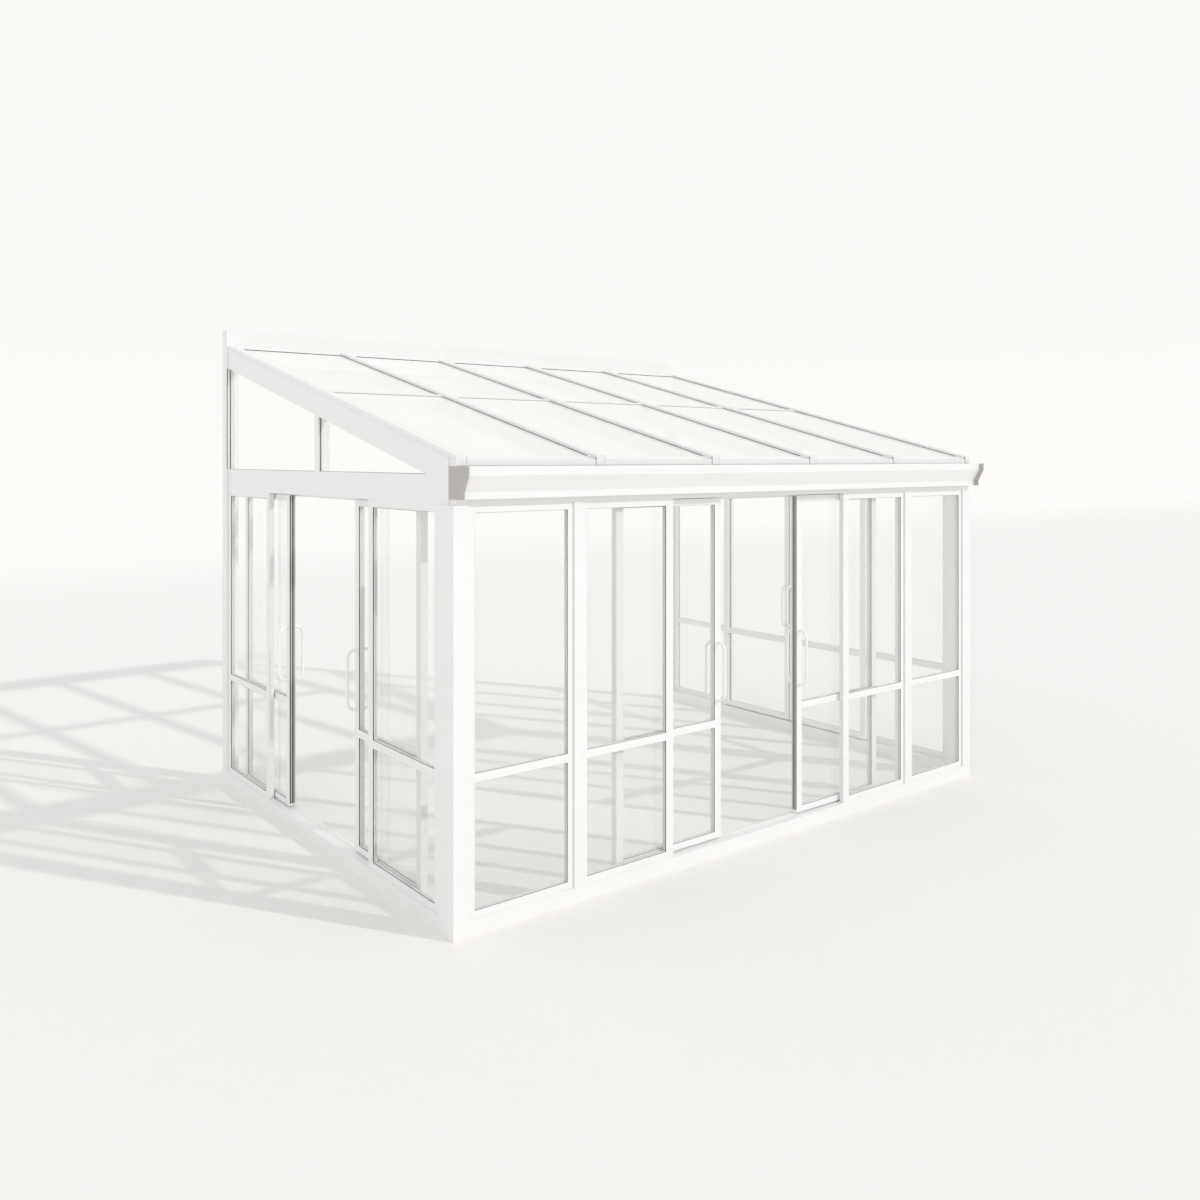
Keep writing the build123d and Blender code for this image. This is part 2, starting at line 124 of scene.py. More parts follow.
# Bow handles
HANDLE_RADIUS = 0.009
HANDLE_REACH = 0.0587
HANDLE_HALF_LENGTH = 0.170
HANDLE_BEND = 0.046
HANDLE_SMOOTH_ANGLE = radians(40)
ROSETTE_RADIUS = 0.0138
ROSETTE_RIM = 0.0018
ROSETTE_HEIGHT = 0.003
ROSETTE_CHAMFER = 0.0012
ROSETTE_EYE = 0.9 * HANDLE_RADIUS
RING_STEPS = 24
BEND_STEPS = 16

# Two points this close are one, and a corner that turns less than this counts as straight
WELD_DISTANCE = 1e-5
STRAIGHT_LIMIT = 1e-7
OUTLINE_DIGITS = 6

# Camera of the photograph
LENS = 31.67
SENSOR_WIDTH = 36
LENS_SHIFT = -0.1183
CAMERA_PLACE = (-4.763, -5.997, 2.33)
CAMERA_TURN = (radians(90), 0, radians(-38.225))
FARTHEST_SEEN = 400

# Light: the sun's direction points towards it
SUN_HEIGHT = radians(30)
SUN_TOWARDS = Vector((0.533 * cos(SUN_HEIGHT), -0.846 * cos(SUN_HEIGHT), sin(SUN_HEIGHT)))
SUN_STRENGTH = 1.03
SUN_ANGLE = radians(1.2)
SUN_COLOUR = (1.0, 0.993, 0.982)
SKY_COLOUR = (1, 0.998, 0.994)
SKY_LEVEL = 0.845
SKY_SIDE_GAIN = 0.16

# Where the cloudy unevenness of a surface starts and ends, and how far it changes the gloss
CLOUD_STOPS = (0.3, 0.7)
GLOSS_LOW = 0.88
GLOSS_HIGH = 1.12

# Sockets of a Mix node for colours, which share their names with the sockets for numbers
MIX_FIRST = 6
MIX_SECOND = 7
MIX_RESULT = 2


def linear(red, green, blue):
    """A screen colour, 0 to 255, as the linear colour a shader takes, by the sRGB curve."""
    return tuple(((part / 255 + 0.055) / 1.055) ** 2.4 for part in (red, green, blue))


BACKDROP = linear(251, 249, 247)
HORIZON = linear(254, 252, 250)
HORIZON_GLOW_TOP = 0.14
FLOOR_COLOUR = (0.905, 0.891, 0.879)
FLOOR_RADIUS = 160
FLOOR_STEPS = 64
FADE_Y = (8, 23)
FADE_RADIUS = (26, 70)


def new_material(name):
    """An empty node material and its tree."""
    material = bpy.data.materials.new(name)
    material.use_nodes = True
    material.node_tree.nodes.clear()
    return material, material.node_tree


def node(tree, kind, **inputs):
    """A shader node with some of its sockets set, by name with underscores for spaces."""
    made = tree.nodes.new(kind)
    for name, value in inputs.items():
        made.inputs[name.replace("_", " ")].default_value = value
    return made


def mixed(tree, factor, first, second):
    """A mix of two shaders: all of the first where the factor is 0, all of the second where it is 1."""
    made = node(tree, "ShaderNodeMixShader")
    for socket, source in zip(made.inputs, (factor, first, second)):
        tree.links.new(source, socket)
    return made.outputs["Shader"]


def output(tree, kind, shader):
    """The output node of a material or of the world, fed by a shader."""
    tree.links.new(shader, node(tree, kind).inputs["Surface"])


def surface_material(name, colour, roughness, grain_scale, grain_height, colour_spread=0.02, coat=0.0):
    """A paint, plastic or rubber surface with a fine grain and a faint unevenness of colour and gloss."""
    material, tree = new_material(name)
    place = node(tree, "ShaderNodeTexCoord").outputs["Object"]
    cloud = node(tree, "ShaderNodeTexNoise", Scale=3.0, Detail=4.0, Roughness=0.6)
    grain = node(tree, "ShaderNodeTexNoise", Scale=grain_scale, Detail=3.0, Roughness=0.55)
    ramp = node(tree, "ShaderNodeValToRGB")
    darker = tuple(part * (1 - colour_spread) for part in colour)
    for stop, position, shade in zip(ramp.color_ramp.elements, CLOUD_STOPS, (darker, colour)):
        stop.position = position
        stop.color = (*shade, 1)
    gloss = node(tree, "ShaderNodeMapRange", To_Min=roughness * GLOSS_LOW, To_Max=roughness * GLOSS_HIGH)
    bump = node(tree, "ShaderNodeBump", Strength=0.35, Distance=grain_height)
    shader = node(tree, "ShaderNodeBsdfPrincipled", Coat_Weight=coat, Coat_Roughness=0.12)
    links = tree.links
    links.new(place, cloud.inputs["Vector"])
    links.new(place, grain.inputs["Vector"])
    links.new(cloud.outputs["Fac"], ramp.inputs["Fac"])
    links.new(cloud.outputs["Fac"], gloss.inputs["Value"])
    links.new(grain.outputs["Fac"], bump.inputs["Height"])
    links.new(ramp.outputs["Color"], shader.inputs["Base Color"])
    links.new(gloss.outputs["Result"], shader.inputs["Roughness"])
    links.new(bump.outputs["Normal"], shader.inputs["Normal"])
    output(tree, "ShaderNodeOutputMaterial", shader.outputs["BSDF"])
    return material


def glass_material(name, tint, clearness, index, shadow_tint, sky_tint):
    """Glass that lets the sun and the sky through as plain light; what isn't clear in it is white."""
    material, tree = new_material(name)
    shader = node(tree, "ShaderNodeBsdfPrincipled", Base_Color=(*tint, 1), Roughness=0.0, IOR=index,
                  Transmission_Weight=clearness)
    sunlit = node(tree, "ShaderNodeBsdfTransparent", Color=(*shadow_tint, 1))
    skylit = node(tree, "ShaderNodeBsdfTransparent", Color=(*sky_tint, 1))
    path = node(tree, "ShaderNodeLightPath")
    for_sky = mixed(tree, path.outputs["Is Diffuse Ray"], shader.outputs["BSDF"], skylit.outputs["BSDF"])
    for_sun = mixed(tree, path.outputs["Is Shadow Ray"], for_sky, sunlit.outputs["BSDF"])
    output(tree, "ShaderNodeOutputMaterial", for_sun)
    return material


WHITE = surface_material("powder_coat", (0.889, 0.887, 0.882), roughness=0.42, grain_scale=900,
                         grain_height=0.0004)
GLOSS_WHITE = surface_material("gloss_white", (0.94, 0.938, 0.932), roughness=0.2, grain_scale=500,
                               grain_height=0.0001, coat=0.8)
GREY = surface_material("grey_plastic", linear(186, 184, 180), roughness=0.55, grain_scale=700,
                        grain_height=0.0004, colour_spread=0.04)
RUBBER = surface_material("black_rubber", (0.050, 0.050, 0.049), roughness=0.6, grain_scale=800,
                          grain_height=0.0005, colour_spread=0.2)
DARK_RUBBER = surface_material("cap_rubber", (0.030, 0.030, 0.029), roughness=0.6, grain_scale=800,
                               grain_height=0.0005, colour_spread=0.2)
SEAL_GREY = surface_material("grey_seal", (0.40, 0.395, 0.385), roughness=0.7, grain_scale=1200,
                             grain_height=0.0008, colour_spread=0.08)
PILE = surface_material("pile_strip", (0.50, 0.495, 0.485), roughness=0.8, grain_scale=1600,
                        grain_height=0.0012, colour_spread=0.10)
PALE_SEAL = surface_material("pale_seal", (0.85, 0.847, 0.84), roughness=0.6, grain_scale=900,
                             grain_height=0.0004, colour_spread=0.04)
GLASS = glass_material("float_glass", (0.996, 0.999, 0.997), clearness=1.0, index=1.45,
                       shadow_tint=(0.925, 0.93, 0.925), sky_tint=(0.94, 0.942, 0.94))
ROOF_GLASS = glass_material("roof_glass", (0.96, 0.963, 0.958), clearness=0.62, index=1.6,
                            shadow_tint=(0.99, 0.99, 0.985), sky_tint=(0.985, 0.99, 0.985))

NODE_FINISHES = {"glass": (GLASS, "clear_glass"), "handles": (GLOSS_WHITE, "white_handle"),
                 "plates": (GREY, "grey_end_plate")}


def round_edges(piece):
    """A small rounding of a CAD node's edges, after its faces are joined."""
    weld = piece.modifiers.new("weld", "WELD")
    weld.merge_threshold = WELD_DISTANCE
    rounding = piece.modifiers.new("rounded_edges", "BEVEL")
    rounding.width = EDGE_ROUNDING
    rounding.segments = ROUNDING_SEGMENTS
    rounding.limit_method = "ANGLE"
    rounding.angle_limit = ROUNDED_ANGLE
    rounding.harden_normals = True


def dress_cad_nodes():
    """Give every CAD node the finish of what it is made of."""
    for name, piece in cad_nodes.items():
        material, slot_name = NODE_FINISHES.get(name.split("_")[-1], (WHITE, "white_aluminium"))
        if name == "roof_glass":
            material = ROOF_GLASS
        piece.data.materials.clear()
        piece.data.materials.append(material)
        if slot_name != "clear_glass":
            round_edges(piece)


def joined(parts):
    """Several lists of points and faces as one."""
    points, faces = [], []
    for part_points, part_faces in parts:
        start = len(points)
        points += part_points
        faces += [tuple(start + corner for corner in face) for face in part_faces]
    return points, faces


def new_object(name, data):
    """An object in the scene for a mesh, a lamp or the camera."""
    made = bpy.data.objects.new(name, data)
    bpy.context.scene.collection.objects.link(made)
    return made


def add_piece(name, parts, material, body, smooth_angle=None):
    """One mesh piece made of several parts, which rides on a body."""
    points, faces = joined(parts)
    mesh = bpy.data.meshes.new(name)
    mesh.from_pydata([tuple(point) for point in points], [], faces)
    corrected = bmesh.new()
    corrected.from_mesh(mesh)
    bmesh.ops.recalc_face_normals(corrected, faces=corrected.faces)
    corrected.to_mesh(mesh)
    corrected.free()
    mesh.materials.append(material)
    piece = new_object(name, mesh)
    if smooth_angle is not None:
        mesh.shade_smooth()
        mesh.set_sharp_from_angle(angle=smooth_angle)
    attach(piece, body)
    return piece


def loft(rings, closed=False):
    """Points and faces of a skin over rings of points: closed round to the first, or else with flat ends."""
    count = len(rings[0])
    points = [point for ring in rings for point in ring]
    faces = []
    for row in range(len(rings) if closed else len(rings) - 1):
        here = row * count
        beyond = (row + 1) % len(rings) * count
        for step in range(count):
            following = (step + 1) % count
            faces.append((here + step, here + following, beyond + following, beyond + step))
    if not closed:
        faces += [tuple(range(count)), tuple(len(points) - 1 - step for step in range(count))]
    return points, faces


def full_turn(steps):
    """Angles all the way round, in even steps."""
    return [2 * pi * step / steps for step in range(steps)]


def islands(name):
    """The separate solids of a CAD node, each as a list of its corner points."""
    welded = bmesh.new()
    welded.from_mesh(cad_nodes[name].data)
    bmesh.ops.remove_doubles(welded, verts=welded.verts, dist=WELD_DISTANCE)
    found = []
    waiting = set(welded.verts)
    for start in welded.verts:
        if start not in waiting:
            continue
        waiting.discard(start)
        stack = [start]
        island = []
        while stack:
            vert = stack.pop()
            island.append(vert.co.copy())
            for edge in vert.link_edges:
                other = edge.other_vert(vert)
                if other in waiting:
                    waiting.discard(other)
                    stack.append(other)
        found.append(island)
    welded.free()
    return found


def left_turn(first, middle, last):
    """How far three points of a plane turn to the left, as twice the area between them."""
    return (middle[0] - first[0]) * (last[1] - first[1]) - (middle[1] - first[1]) * (last[0] - first[0])


def half_hull(points):
    """The lower side of the outline round some sorted points, or the upper side if they run backwards."""
    chain = []
    for point in points:
        while len(chain) > 1 and left_turn(chain[-2], chain[-1], point) <= STRAIGHT_LIMIT:
            chain.pop()
        chain.append(point)
    return chain[:-1]


def hull(points):
    """The outline round some points of a plane, anticlockwise, without the points on its straight sides."""
    ordered = sorted({(round(x, OUTLINE_DIGITS), round(y, OUTLINE_DIGITS)) for x, y in points})
    return half_hull(ordered) + half_hull(ordered[::-1])


def inset(outline, amount):
    """A convex anticlockwise outline with every side moved inwards by one amount."""
    moved = []
    for before, here, after in zip(outline[-1:] + outline[:-1], outline, outline[1:] + outline[:1]):
        first = Vector((here[0] - before[0], here[1] - before[1])).normalized()
        second = Vector((after[0] - here[0], after[1] - here[1])).normalized()
        inward = Vector((-first.y, first.x))
        inward_next = Vector((-second.y, second.x))
        bisector = inward + inward_next
        moved.append(Vector(here) + bisector * (amount / bisector.dot(inward)))
    return moved


def reach_of(outline):
    """The lowest and highest place along the wall and the lowest and highest height of an outline."""
    places = [point[0] for point in outline]
    heights = [point[1] for point in outline]
    return min(places), max(places), min(heights), max(heights)


class Wall:
    """A wall's own directions: along it, up, and depth inwards from the outer face of its posts."""

    def __init__(self, normal_axis, outer, sign):
        self.axis = normal_axis
        self.outer = outer
        self.sign = sign

    def flat(self, point):
        """A point as its place along the wall and its height."""
        return (point[1 - self.axis], point[2])

    def depth(self, point):
        """How far a point lies behind the outer face."""
        return (point[self.axis] - self.outer) * self.sign

    def point(self, along, height, depth):
        """The point of space for a place along the wall, a height and a depth."""
        across = self.outer + self.sign * depth
        if self.axis == 1:
            return Vector((along, across, height))
        return Vector((across, along, height))


sill_low, sill_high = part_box("front_sill")
FRONT_WALL = Wall(1, sill_low.y, 1)
LEFT_WALL = Wall(0, -sill_high.x, 1)
RIGHT_WALL = Wall(0, sill_high.x, -1)


def wall_of(name):
    """The wall that a node's name puts it in."""
    if name.startswith("front"):
        return FRONT_WALL
    return LEFT_WALL if name.startswith("left") else RIGHT_WALL


def ring_round(wall, outline, section):
    """A ring that follows an outline, its section given as insets and depths."""
    return loft([[wall.point(along, height, depth) for along, height in inset(outline, amount)]
                 for amount, depth in section], closed=True)


def level_strip(wall, along_low, along_high, section):
    """A level bar along a wall, its section given as depths and heights."""
    return loft([[wall.point(along, height, depth) for depth, height in section]
                 for along in (along_low, along_high)])


def upright_strip(wall, bottom, top, section):
    """An upright bar on a wall, its section given as places along the wall and depths."""
    return loft([[wall.point(along, height, depth) for along, depth in section] for height in (bottom, top)])


def outer_bead(glass_depth, face_depth):
    """Section of the pale bead between the dark gasket and the glass."""
    front = face_depth + GASKET_DEPTH
    return [(0, glass_depth), (BEAD_LIP, glass_depth), (BEAD_TOP, front), (0, front)]


def inner_bead(glass_depth):
    """Section of the small wedge bead behind the glass."""
    back = glass_depth + INNER_BEAD_DEPTH
    return [(0, glass_depth), (0, back), (BEAD_TOP, back), (BEAD_LIP, glass_depth + INNER_BEAD_LIP_DEPTH),
            (BEAD_LIP, glass_depth)]


def slim_gasket(glass_depth, out):
    """Section of the slim gasket of the gable panes, in front of the glass or behind it."""
    top = glass_depth + out * SLIM_GASKET_RISE
    return [(0, glass_depth), (SLIM_GASKET_FOOT, glass_depth), (SLIM_GASKET_TOP, top), (0, top)]


def reveal_gasket(edge, inward, face_depth, gasket_depth):
    """Section of the dark gasket on one side of a reveal, as distances across the reveal and depths."""
    front = face_depth + GASKET_INSET
    back = face_depth + gasket_depth
    inner = edge + inward * GASKET_BODY
    return [(edge, front), (edge + inward * GASKET_BODY / 2, front), (inner, front + GASKET_SLANT),
            (inner, back), (edge, back)]


def liner(wall, outline, face_depth):
    """The dark gasket round the front of one reveal: deep on its two sides, slim on its rails."""
    low, high, bottom, top = reach_of(outline)
    parts = []
    for edge, inward in ((low, 1), (high, -1)):
        section = reveal_gasket(edge, inward, face_depth, GASKET_DEPTH)
        parts.append(upright_strip(wall, bottom, top, section))
    for edge, inward in ((bottom, 1), (top, -1)):
        section = reveal_gasket(edge, inward, face_depth, RAIL_GASKET_DEPTH)
        parts.append(level_strip(wall, low + GASKET_BODY, high - GASKET_BODY,
                                 [(depth, height) for height, depth in section]))
    return joined(parts)


def pane_openings(name, rebate):
    """For each pane of a glass node, the opening that it shows in and the depths of its two faces."""
    wall = wall_of(name)
    found = []
    for island in islands(name):
        depths = [wall.depth(point) for point in island]
        outline = hull([wall.flat(point) for point in island])
        found.append(([tuple(point) for point in inset(outline, rebate)], min(depths), max(depths)))
    return found


def glaze(name, face_depth, body):
    """The gaskets and beads of each pane of a framed glass node."""
    wall = wall_of(name)
    label = name.replace("_glass", "")
    panes = pane_openings(name, REBATE)
    gaskets = [liner(wall, outline, face_depth) for outline, _, _ in panes]
    outer_beads = [ring_round(wall, outline, outer_bead(front, face_depth)) for outline, front, _ in panes]
    inner_beads = [ring_round(wall, outline, inner_bead(back)) for outline, _, back in panes]
    add_piece(f"{label}_gaskets", gaskets, RUBBER, body)
    add_piece(f"{label}_outer_beads", outer_beads, PALE_SEAL, body)
    add_piece(f"{label}_inner_beads", inner_beads, PALE_SEAL, body)


def glaze_gable(name):
    """The slim gaskets of the panes over a transom, and the gasket on the rear post beside them."""
    wall = wall_of(name)
    label = name.replace("_glass", "")
    openings = pane_openings(name, 0)
    gaskets = [ring_round(wall, outline, slim_gasket(depth, out))
               for outline, front, back in openings for depth, out in ((front, -1), (back, 1))]
    add_piece(f"{label}_gaskets", gaskets, RUBBER, BUILDING)
    rear_pane = max((outline for outline, _, _ in openings), key=lambda outline: reach_of(outline)[1])
    _, rear, bottom, top = reach_of(rear_pane)
    inner = rear - GASKET_BODY
    section = [(rear, GASKET_INSET), (inner, GASKET_INSET), (inner, GASKET_DEPTH), (rear, GASKET_DEPTH)]
    add_piece(f"{label}_post_gasket", [upright_strip(wall, bottom, top - POST_GASKET_END, section)],
              RUBBER, BUILDING)


def glaze_all():
    """Gaskets for every upright pane of the building and of its doors."""
    for name in ("front_window_glass", "front_fixed_glass", "left_fixed_glass", "right_fixed_glass"):
        glaze(name, FRAME_SETBACK, BUILDING)
    for name in ("left_gable_glass", "right_gable_glass"):
        glaze_gable(name)
    for door in DOORS:
        glaze(f"{door}_glass", DOOR_SETBACK, door)


roof_low, roof_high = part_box("roof_glass")


def roof_point(x, y, rise):
    """A point over the roof: rise is its height over the underside of the roof glass."""
    return Vector((x, y, roof_low.z + (y - roof_low.y) * tan(ROOF_PITCH) + rise))


def strip_up_the_roof(section, y_low, y_high):
    """A bar that runs up the roof, its section given as places along the front and rises."""
    return loft([[roof_point(x, y, rise) for x, rise in section] for y in (y_low, y_high)])


def strip_across_the_roof(section, x_low, x_high):
    """A bar that runs across the roof, its section given as depths of the building and rises."""
    return loft([[roof_point(x, y, rise) for y, rise in section] for x in (x_low, x_high)])


def cap_gasket(edge, out):
    """Section of the rubber strip on the glass beside a glazing cap."""
    inner = edge - out * EMBEDDED
    tip = edge + out * CAP_GASKET_WIDTH
    top = ROOF_PANE_RISE + CAP_GASKET_HEIGHT
    return [(inner, ROOF_PANE_RISE), (tip, ROOF_PANE_RISE), (tip, ROOF_PANE_RISE + CAP_GASKET_SHOULDER),
            (edge + out * CAP_GASKET_WIDTH / 2, top), (inner, top)]


def flashing_bead(edge):
    """Section of the bead on the glass along the lower edge of the flashing."""
    inner = edge + EMBEDDED
    tip = edge - FLASHING_BEAD_WIDTH
    top = ROOF_PANE_RISE + FLASHING_BEAD_HEIGHT
    return [(inner, ROOF_PANE_RISE), (tip, ROOF_PANE_RISE), (tip + FLASHING_BEAD_SLANT, top), (inner, top)]


def purlin_bead(edge, out):
    """Section of the bead on the glass along one side of a purlin cap."""
    inner = edge - out * EMBEDDED
    top = ROOF_PANE_RISE + PURLIN_BEAD_HEIGHT
    return [(inner, ROOF_PANE_RISE), (edge + out * PURLIN_BEAD_WIDTH, ROOF_PANE_RISE),
            (edge + out * PURLIN_BEAD_TOP, top), (inner, top)]


def verge_seal(cap_low, cap_high, inward):
    """Section of the seal that closes the edge of the roof under its outermost cap."""
    stem = (cap_low + cap_high) / 2 - inward * CAP_STEM_HALF
    start = (cap_low if inward > 0 else cap_high) + inward * VERGE_SEAL_INSET
    return [(start, 0), (stem, 0), (stem, ROOF_PANE_RISE), (start, ROOF_PANE_RISE)]


def nose_seal(edge, out):
    """The upright seal between the nose of a glazing cap and the glass stop beside it, black partly as
    painted shade beside the nose.
    """
    stop_low, stop_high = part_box("glass_stops")
    nose_front = roof_low.y - NOSE_THICKNESS
    tip = edge + out * NOSE_SEAL_WIDTH
    section = [(edge, nose_front + NOSE_SEAL_INSET), (tip, nose_front + NOSE_SEAL_TIP_INSET),
               (tip, roof_low.y), (edge, roof_low.y)]
    return loft([[Vector((x, y, height)) for x, y in section]
                 for height in (stop_low.z, stop_high.z + NOSE_SEAL_OVERLAP)])


def seal_roof():
    """Strips beside the glazing caps and their noses, beads along purlins and flashings, verge seals."""
    caps = sorted((min(point.x for point in cap), max(point.x for point in cap))
                  for cap in islands("glazing_caps"))
    bays = [(left[1], right[0]) for left, right in zip(caps[:-1], caps[1:])]
    bay_edges = [(edge, out) for left, right in bays for edge, out in ((left, 1), (right, -1))]
    purlin_low, purlin_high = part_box("purlin_caps")
    purlin_edges = ((purlin_low.y, -1), (purlin_high.y, 1))
    flashing_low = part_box("wall_flashing")[0]
    runs = ((roof_low.y + CAP_GASKET_END, purlin_low.y), (purlin_high.y, flashing_low.y))
    gaskets = [strip_up_the_roof(cap_gasket(edge, out), low, high)
               for edge, out in bay_edges for low, high in runs]
    flashing_beads = [strip_across_the_roof(flashing_bead(flashing_low.y), *bay) for bay in bays]
    purlin_beads = [strip_across_the_roof(purlin_bead(edge, out), *bay)
                    for bay in bays for edge, out in purlin_edges]
    nose_seals = [nose_seal(edge, out) for edge, out in bay_edges]
    verges = [strip_up_the_roof(verge_seal(*cap, inward), roof_low.y, roof_high.y)
              for cap, inward in ((caps[0], 1), (caps[-1], -1))]
    add_piece("roof_cap_gaskets", gaskets, DARK_RUBBER, BUILDING)
    add_piece("roof_flashing_beads", flashing_beads, RUBBER, BUILDING)
    add_piece("roof_purlin_beads", purlin_beads, SEAL_GREY, BUILDING)
    # The black of the nose seals is partly painted shade on the sides of the noses.
    add_piece("roof_nose_seals_painted_shade", nose_seals, RUBBER, BUILDING)
    add_piece("roof_verge_seals", verges, PALE_SEAL, BUILDING)


def sill_bead(wall, low, high, bottom):
    """The bead on the sill along the foot of a fixed frame."""
    inner = FRAME_SETBACK + EMBEDDED
    top = bottom + SILL_BEAD_HEIGHT
    section = [(inner, bottom), (inner - SILL_BEAD_WIDTH, bottom),
               (inner - SILL_BEAD_TOP, top), (inner, top)]
    return level_strip(wall, low, high, section)


def pile_strip(wall, centre, bottom, top, back):
    """The pile on the back of a fixed frame, with its tip just in front of the door that slides there."""
    half = PILE_WIDTH / 2
    tip = DOOR_SETBACK - PILE_CLEARANCE
    shoulder = tip - PILE_ROUNDING
    section = [(centre - half, back - EMBEDDED), (centre + half, back - EMBEDDED), (centre + half, shoulder),
               (centre + half / 2, tip), (centre - half / 2, tip), (centre - half, shoulder)]
    return upright_strip(wall, bottom + PILE_END_GAP, top - PILE_END_GAP, section)


def seal_frames():
    """A pale bead along the foot of each fixed frame, and a pile strip between it and the sliding door."""
    for label in ("front_window", "front_fixed", "left_fixed", "right_fixed"):
        wall = wall_of(label)
        frames = [(*reach_of([wall.flat(point) for point in island]),
                   max(wall.depth(point) for point in island)) for island in islands(f"{label}_frames")]
        beads = [sill_bead(wall, low, high, bottom) for low, high, bottom, _, _ in frames]
        add_piece(f"{label}_sill_beads", beads, PALE_SEAL, BUILDING)
        if label != "front_window":
            middle = sum(low + high for low, high, _, _, _ in frames) / (2 * len(frames))
            piles = []
            for low, high, bottom, top, back in frames:
                centre = high - PILE_INSET if high < middle else low + PILE_INSET
                piles.append(pile_strip(wall, centre, bottom, top, back))
            add_piece(f"{label}_pile_strips", piles, PILE, BUILDING)


def tube(path, radius, across):
    """A round bar along a path in one plane, across being the plane's normal."""
    rings = []
    for before, here, after in zip(path[:1] + path[:-1], path, path[1:] + path[-1:]):
        side = (after - before).cross(across).normalized()
        rings.append([here + radius * (cos(turn) * side + sin(turn) * across)
                      for turn in full_turn(RING_STEPS)])
    return loft(rings)


def turned(wall, along, height, face, out, profile):
    """A round boss that stands on a door's face, its section given as radii and rises from the face."""
    return loft([[wall.point(along + radius * cos(turn), height + radius * sin(turn), face - out * rise)
                  for turn in full_turn(RING_STEPS)] for radius, rise in profile])


def bow(wall, along, middle, face, out):
    """One bow handle: a round bar that leaves the door, bends along it and comes back, on two rosettes."""
    foot = [wall.point(along, middle - HANDLE_HALF_LENGTH, face)]
    head = [wall.point(along, middle + HANDLE_HALF_LENGTH, face)]
    for step in range(BEND_STEPS + 1):
        turn = pi / 2 * step / BEND_STEPS
        depth = face - out * (HANDLE_REACH - HANDLE_BEND + HANDLE_BEND * sin(turn))
        half_length = HANDLE_HALF_LENGTH - HANDLE_BEND * (1 - cos(turn))
        foot.append(wall.point(along, middle - half_length, depth))
        head.append(wall.point(along, middle + half_length, depth))
    across = wall.point(1, 0, 0) - wall.point(0, 0, 0)
    rosette = [(ROSETTE_RADIUS, 0), (ROSETTE_RADIUS, ROSETTE_RIM),
               (ROSETTE_RADIUS - ROSETTE_CHAMFER, ROSETTE_HEIGHT), (ROSETTE_EYE, ROSETTE_HEIGHT)]
    rosettes = [turned(wall, along, middle + end * HANDLE_HALF_LENGTH, face, out, rosette)
                for end in (-1, 1)]
    return joined([tube(foot + head[::-1], HANDLE_RADIUS, across), *rosettes])


def dress_handles():
    """Smooth round handles in place of the CAD model's bars with flats."""
    for door in DOORS:
        name = f"{door}_handles"
        wall = wall_of(name)
        low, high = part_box(name)
        along, middle = wall.flat((low + high) / 2)
        outer_face, inner_face = sorted(wall.depth(point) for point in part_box(f"{door}_frame"))
        bows = [bow(wall, along, middle, outer_face, 1), bow(wall, along, middle, inner_face, -1)]
        piece = add_piece(f"{door}_bow_handles", bows, GLOSS_WHITE, door,
                          HANDLE_SMOOTH_ANGLE)
        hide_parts(name)


def lead_section(edge, outward, front, back, rise):
    """Section of one strip of the seal in a door's leading edge, as places and depths."""
    slant = LEAD_SLANT_SHARE * (back - front)
    shoulder = LEAD_SHOULDER_SHARE * rise
    heights = [(front, -EMBEDDED), (front, shoulder), (front + slant, rise), (back - slant, rise),
               (back, shoulder), (back, -EMBEDDED)]
    return [(edge + outward * height, depth) for depth, height in heights]


def lead_edges():
    """The seal let into the leading edge of each door: grey pile between dark fin strips, whose dark is
    partly painted shade of the seal's grooves.
    """
    for door in DOORS:
        wall = wall_of(door)
        low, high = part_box(f"{door}_frame")
        handle_low, handle_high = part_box(f"{door}_handles")
        along_low, along_high = sorted((wall.flat(low)[0], wall.flat(high)[0]))
        handle_along = wall.flat((handle_low + handle_high) / 2)[0]
        lead_at_low = abs(handle_along - along_low) < abs(handle_along - along_high)
        edge, outward = (along_low, -1) if lead_at_low else (along_high, 1)
        face = min(wall.depth(low), wall.depth(high))
        # Dark rubber fin strips, partly painted shade of the grooves between the pile strips.
        for label, spans, material, rise in (("fins_and_groove_shade", LEAD_FINS_AND_GROOVE_SHADE, DARK_RUBBER, LEAD_FIN_RISE),
                                             ("pads", LEAD_PADS, PILE, LEAD_PAD_RISE)):
            sections = [lead_section(edge, outward, face + start, face + end, rise) for start, end in spans]
            strips = [upright_strip(wall, low.z + LEAD_FOOT_GAP, high.z - LEAD_HEAD_GAP, section)
                      for section in sections]
            add_piece(f"{door}_lead_{label}", strips, material, door)


def camera():
    """The camera of the photograph: its lens, its place and the small shift that keeps uprights upright."""
    data = bpy.data.cameras.new("camera")
    data.lens = LENS
    data.sensor_width = SENSOR_WIDTH
    data.shift_y = LENS_SHIFT
    data.clip_end = FARTHEST_SEEN
    made = new_object("camera", data)
    made.location = CAMERA_PLACE
    made.rotation_euler = CAMERA_TURN
    bpy.context.scene.camera = made


def maths(tree, operation, *values):
    """The result of a Math node; each value is a number or the socket that feeds it."""
    made = node(tree, "ShaderNodeMath")
    made.operation = operation
    for socket, value in zip(made.inputs, values):
        if isinstance(value, (int, float)):
            socket.default_value = value
        else:
            tree.links.new(value, socket)
    return made.outputs[0]


def seen_by_camera(tree):
    """A factor that is 1 for what the camera sees directly, in a reflection or through glass."""
    path = node(tree, "ShaderNodeLightPath").outputs
    direct_or_reflected = maths(tree, "MAXIMUM", path["Is Camera Ray"], path["Is Glossy Ray"])
    return maths(tree, "MAXIMUM", direct_or_reflected, path["Is Transmission Ray"])


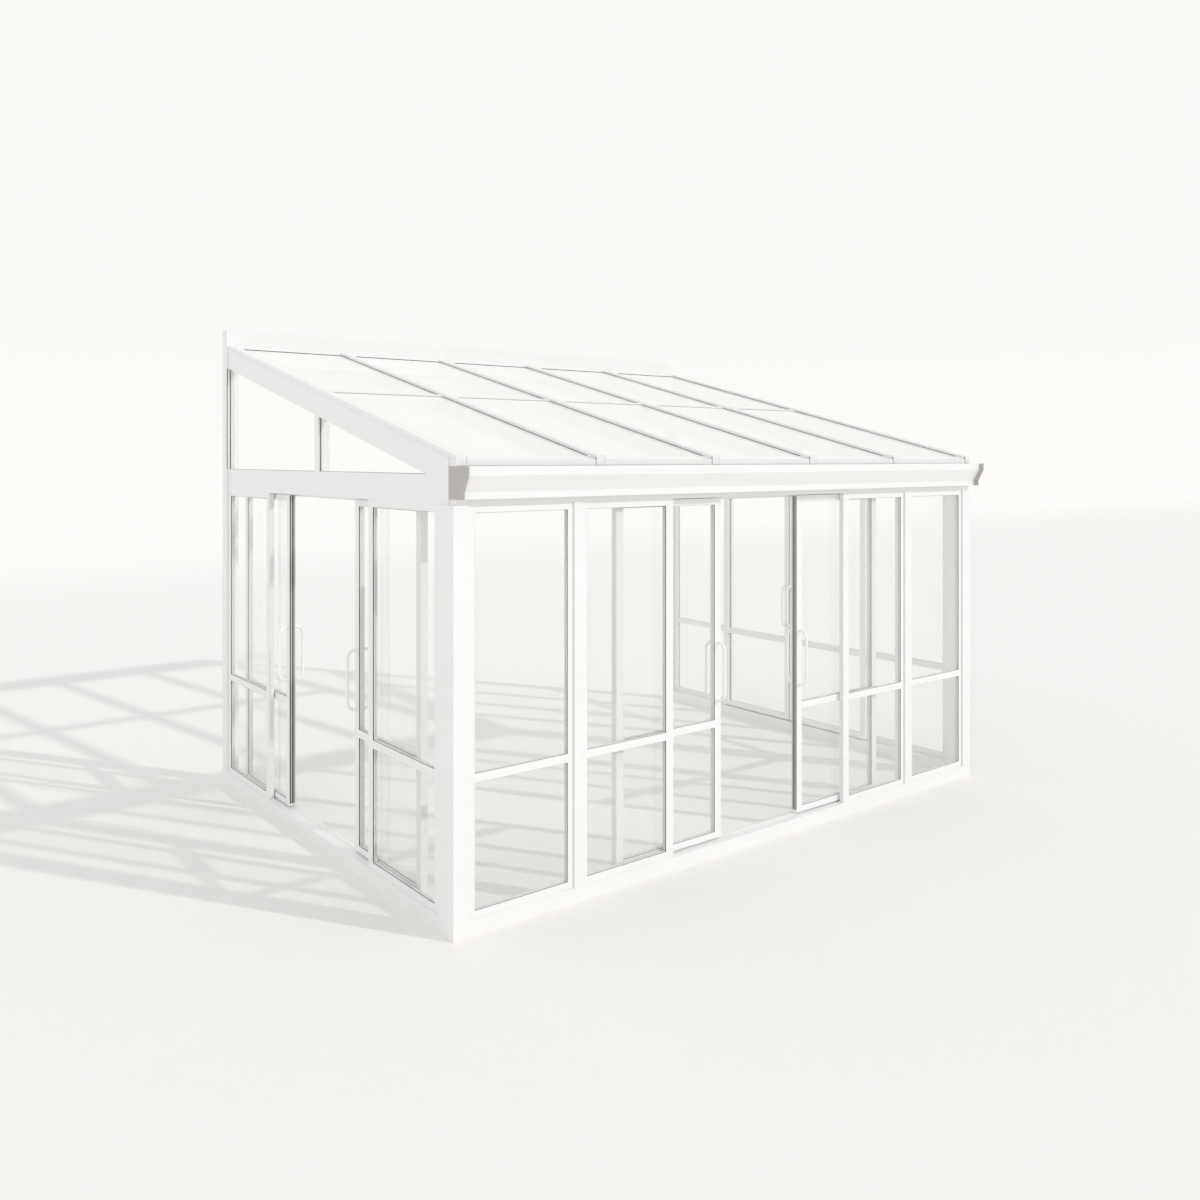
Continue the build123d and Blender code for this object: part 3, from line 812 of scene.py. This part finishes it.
def sky():
    """An even sky, a little brighter on the left, behind a pale backdrop that the camera sees instead."""
    world = bpy.data.worlds.new("sky")
    bpy.context.scene.world = world
    world.use_nodes = True
    tree = world.node_tree
    tree.nodes.clear()
    links = tree.links
    ways = node(tree, "ShaderNodeSeparateXYZ")
    links.new(node(tree, "ShaderNodeTexCoord").outputs["Generated"], ways.inputs[0])
    lit = node(tree, "ShaderNodeBackground", Color=(*SKY_COLOUR, 1))
    strength = maths(tree, "MULTIPLY_ADD", ways.outputs["X"], -SKY_LEVEL * SKY_SIDE_GAIN, SKY_LEVEL)
    links.new(strength, lit.inputs["Strength"])
    height = node(tree, "ShaderNodeMapRange", From_Min=0.0, From_Max=HORIZON_GLOW_TOP)
    links.new(ways.outputs["Z"], height.inputs["Value"])
    shade = node(tree, "ShaderNodeMix")
    shade.data_type = "RGBA"
    shade.inputs[MIX_FIRST].default_value = (*HORIZON, 1)
    shade.inputs[MIX_SECOND].default_value = (*BACKDROP, 1)
    links.new(height.outputs["Result"], shade.inputs[0])
    seen = node(tree, "ShaderNodeBackground", Strength=1.0)
    links.new(shade.outputs[MIX_RESULT], seen.inputs["Color"])
    both = mixed(tree, seen_by_camera(tree), lit.outputs["Background"], seen.outputs["Background"])
    output(tree, "ShaderNodeOutputWorld", both)


def sun():
    """A soft sun from the front right."""
    lamp = bpy.data.lights.new("sun", "SUN")
    lamp.energy = SUN_STRENGTH
    lamp.angle = SUN_ANGLE
    lamp.color = SUN_COLOUR
    made = new_object("sun", lamp)
    made.rotation_euler = SUN_TOWARDS.to_track_quat("Z", "Y").to_euler()


def fade(tree, value, start, end):
    """A factor that goes smoothly from 0 to 1 between two values."""
    made = node(tree, "ShaderNodeMapRange", From_Min=start, From_Max=end)
    made.interpolation_type = "SMOOTHSTEP"
    tree.links.new(value, made.inputs["Value"])
    return made.outputs["Result"]


def floor_material():
    """A matt floor that fades into the backdrop behind the building and far round it."""
    material, tree = new_material("pale_floor")
    place = node(tree, "ShaderNodeNewGeometry").outputs["Position"]
    distance = node(tree, "ShaderNodeVectorMath")
    distance.operation = "LENGTH"
    tree.links.new(place, distance.inputs[0])
    ways = node(tree, "ShaderNodeSeparateXYZ")
    tree.links.new(place, ways.inputs[0])
    behind = fade(tree, ways.outputs["Y"], *FADE_Y)
    around = fade(tree, distance.outputs["Value"], *FADE_RADIUS)
    faded = maths(tree, "MULTIPLY", maths(tree, "MAXIMUM", behind, around), seen_by_camera(tree))
    matt = node(tree, "ShaderNodeBsdfDiffuse", Color=(*FLOOR_COLOUR, 1))
    glow = node(tree, "ShaderNodeEmission", Color=(*HORIZON, 1), Strength=1.0)
    both = mixed(tree, faded, matt.outputs["BSDF"], glow.outputs["Emission"])
    output(tree, "ShaderNodeOutputMaterial", both)
    return material


def floor():
    """A wide round floor under the building."""
    mesh = bpy.data.meshes.new("floor")
    points = [(FLOOR_RADIUS * cos(turn), FLOOR_RADIUS * sin(turn), 0) for turn in full_turn(FLOOR_STEPS)]
    mesh.from_pydata(points, [], [tuple(range(FLOOR_STEPS))])
    mesh.materials.append(floor_material())
    made = new_object("floor", mesh)


camera()
sky()
sun()
floor()
dress_cad_nodes()
glaze_all()
dress_handles()
lead_edges()
seal_roof()
seal_frames()

bpy.context.scene.view_settings.view_transform = "Standard"
